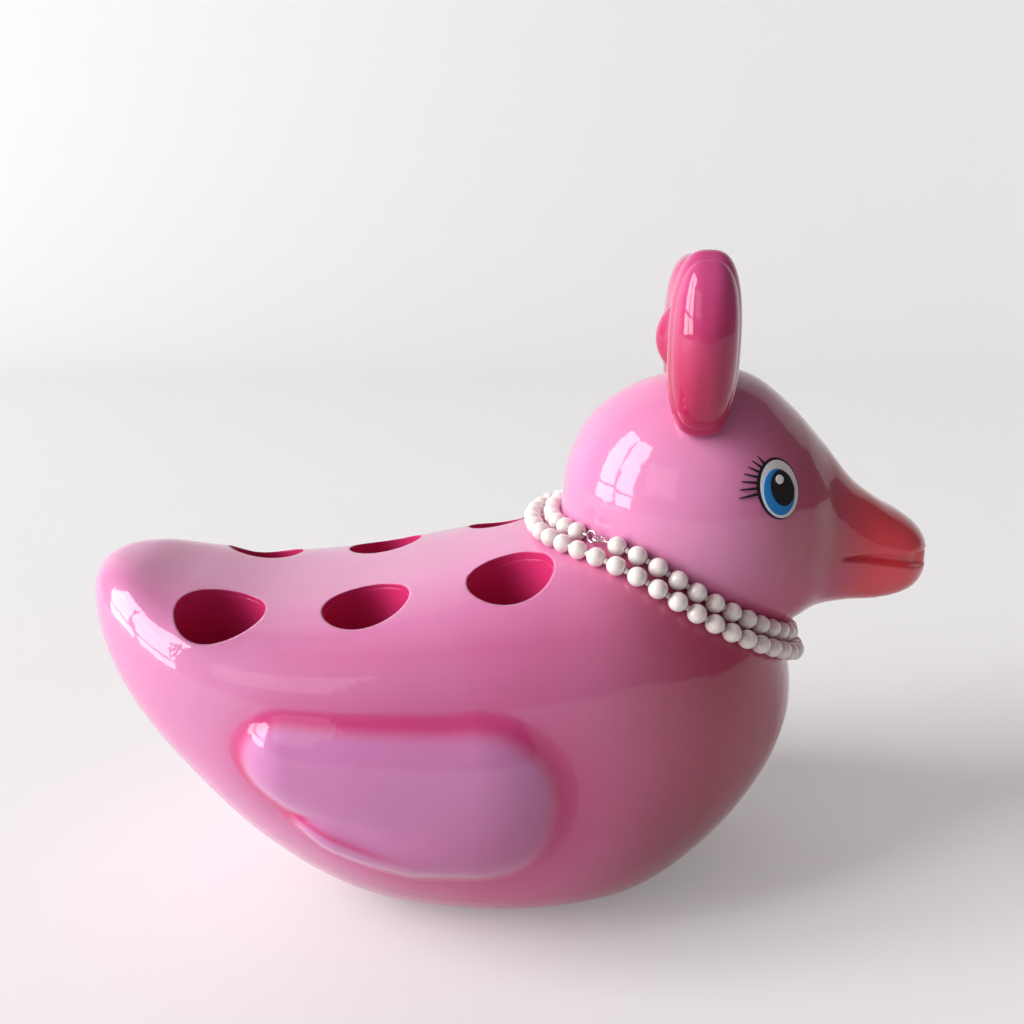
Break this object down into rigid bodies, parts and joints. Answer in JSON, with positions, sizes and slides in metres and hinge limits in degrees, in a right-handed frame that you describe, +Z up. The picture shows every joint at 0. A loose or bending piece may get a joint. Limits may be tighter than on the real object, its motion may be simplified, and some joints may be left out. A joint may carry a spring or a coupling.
{
  "type": "duck shaped desk holder",
  "caption": "Glossy duck figure that holds upright things in round sockets in its back, with a bow on its head and a wound pearl necklace.",
  "frame": {"origin": "centre of the bounding box in plan, at the surface the duck stands on", "axes": "+X the way the beak points, +Y the duck's left, +Z up"},
  "size_m": [0.3755, 0.1822, 0.2845],
  "materials": {
    "body_paint": "airbrushed pink under a glossy clear coat",
    "bow_paint": "hot pink under a glossy clear coat",
    "socket_paint": "deep pink, glossy",
    "base_paint": "matt",
    "eye_white_paint": "glossy",
    "eye_blue_paint": "glossy",
    "eye_black_paint": "glossy",
    "pearl": "pearl lustre",
    "thread": "matt twisted thread",
    "clasp_metal": "polished"
  },
  "bodies": {
    "root": {"body_shell": "body_paint", "head_shell": "body_paint", "base_plate": "base_paint", "bow_loop_right": "bow_paint", "bow_loop_left": "bow_paint", "bow_knot": "bow_paint", "pearls_first_turn": "pearl", "pearls_second_turn": "pearl", "necklace_thread": "thread", "necklace_knots": "thread", "clasp_ring": "clasp_metal", "clasp_hook": "clasp_metal", "socket_right_rear": "socket_paint", "socket_right_middle": "socket_paint", "socket_right_front": "socket_paint", "eye_white_right": "eye_white_paint", "eye_iris_right": "eye_blue_paint", "eye_pupil_right": "eye_black_paint", "eye_glint_right": "eye_white_paint", "eyelashes_right": "eye_black_paint", "socket_left_rear": "socket_paint", "socket_left_middle": "socket_paint", "socket_left_front": "socket_paint", "eye_white_left": "eye_white_paint", "eye_iris_left": "eye_blue_paint", "eye_pupil_left": "eye_black_paint", "eye_glint_left": "eye_white_paint", "eyelashes_left": "eye_black_paint"}
  },
  "joints": []
}
